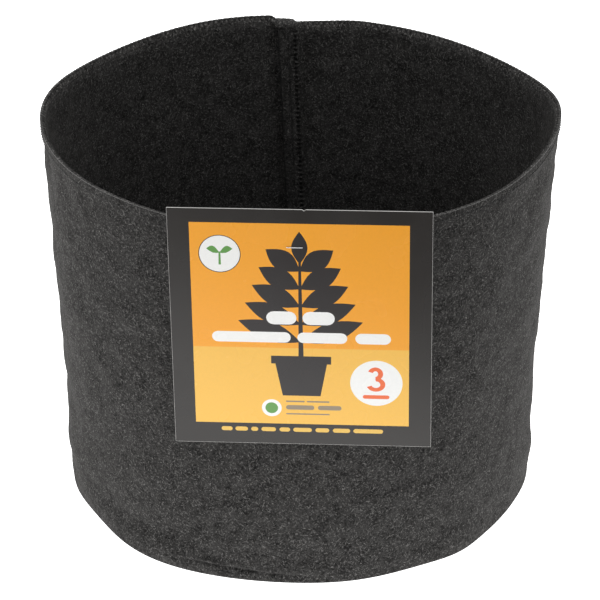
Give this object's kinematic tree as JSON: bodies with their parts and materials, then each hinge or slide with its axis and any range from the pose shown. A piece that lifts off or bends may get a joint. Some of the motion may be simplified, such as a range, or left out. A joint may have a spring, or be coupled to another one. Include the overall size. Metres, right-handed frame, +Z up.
{
  "type": "fabric grow bag",
  "caption": "Round open-topped planting bag sewn from felt: one wall panel, a base disc, overlocked rim and seams, and a flat card stapled to the rim whose lower part lifts.",
  "frame": {"origin": "centre of the underside of the base, where the bag's vertical centre line meets the ground", "axes": "+Z up along the bag's centre line, -Y towards the label card, +X to the right when facing the label"},
  "size_m": [0.2728, 0.2737, 0.2249],
  "materials": {
    "felt": "matte",
    "thread": "matte",
    "card": "satin",
    "staple_wire": "polished"
  },
  "bodies": {
    "bag": {"wall_panel": "felt", "base_disc": "felt", "rim_needle_thread": "thread", "rim_upper_looper_thread": "thread", "rim_lower_looper_thread": "thread", "side_chain_needle_thread": "thread", "side_chain_looper_thread": "thread", "side_overlock_needle_thread": "thread", "side_upper_looper_thread": "thread", "side_lower_looper_thread": "thread", "base_chain_needle_thread": "thread", "base_chain_looper_thread": "thread", "base_overlock_needle_thread": "thread", "base_upper_looper_thread": "thread", "base_lower_looper_thread": "thread", "label_head": "card", "staple": "staple_wire"},
    "label_leaf": {"label_leaf": "card"}
  },
  "joints": [
    {"name": "label_lift", "type": "hinge", "parent": "bag", "child": "label_leaf", "pos_m": [0.00898, -0.13639, 0.1991], "axis": [-0.9999, 0.0003, -0.0122], "range_deg": [0, 80], "stiffness_Nm_per_rad": 0.02}
  ]
}
